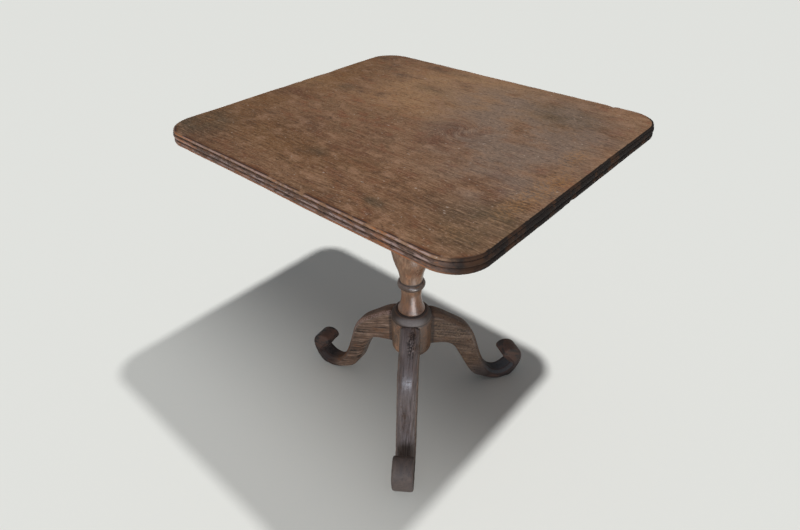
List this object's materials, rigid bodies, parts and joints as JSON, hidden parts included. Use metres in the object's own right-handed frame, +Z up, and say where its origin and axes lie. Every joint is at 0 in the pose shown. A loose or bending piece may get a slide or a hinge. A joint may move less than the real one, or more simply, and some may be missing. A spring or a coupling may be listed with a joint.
{
  "type": "tilt-top tripod table",
  "caption": "Pedestal table with a rounded rectangular moulded top that tilts on a turned pillar, and three cabriole legs with scroll feet.",
  "frame": {"origin": "on the floor, under the middle of the top", "axes": "+Z up; +X along the grain and the long side of the top; -Y is the front edge, to which the top's face turns when it tilts"},
  "size_m": [0.654, 0.587, 0.74],
  "materials": {
    "top_board": "old oiled hardwood, worn satin, grain along X",
    "under_frame": "bare sawn hardwood, darkened by age",
    "turned_pillar": "turned hardwood with a waxed satin gloss",
    "leg_plank": "hand-cut hardwood, worn and darkened towards the feet",
    "pegs": "dark end grain",
    "iron_screws": "rust-browned iron"
  },
  "bodies": {
    "stand": {"pillar": "turned_pillar", "tilt_block": "under_frame", "tenon_wedge": "pegs", "leg_front": "leg_plank", "leg_right": "leg_plank", "leg_left": "leg_plank", "peg_front": "pegs", "peg_right": "pegs", "peg_left": "pegs"},
    "top": {"tabletop": "top_board", "bearer_left": "under_frame", "bearer_right": "under_frame", "bearer_screws_left": "iron_screws", "bearer_screws_right": "iron_screws", "button_block": "under_frame", "button_block_screws": "iron_screws", "button_pivot_screw": "iron_screws"},
    "button": {"turn_button": "under_frame"}
  },
  "joints": [
    {"name": "top_tilt", "type": "hinge", "parent": "stand", "child": "top", "pos_m": [-0.02, -0.038, 0.7024], "axis": [1, 0, 0], "range_deg": [0, 90]},
    {"name": "button_turn", "type": "hinge", "parent": "top", "child": "button", "pos_m": [-0.02, 0.118, 0.6789], "axis": [0, 0, 1], "range_deg": [0, 90]}
  ]
}
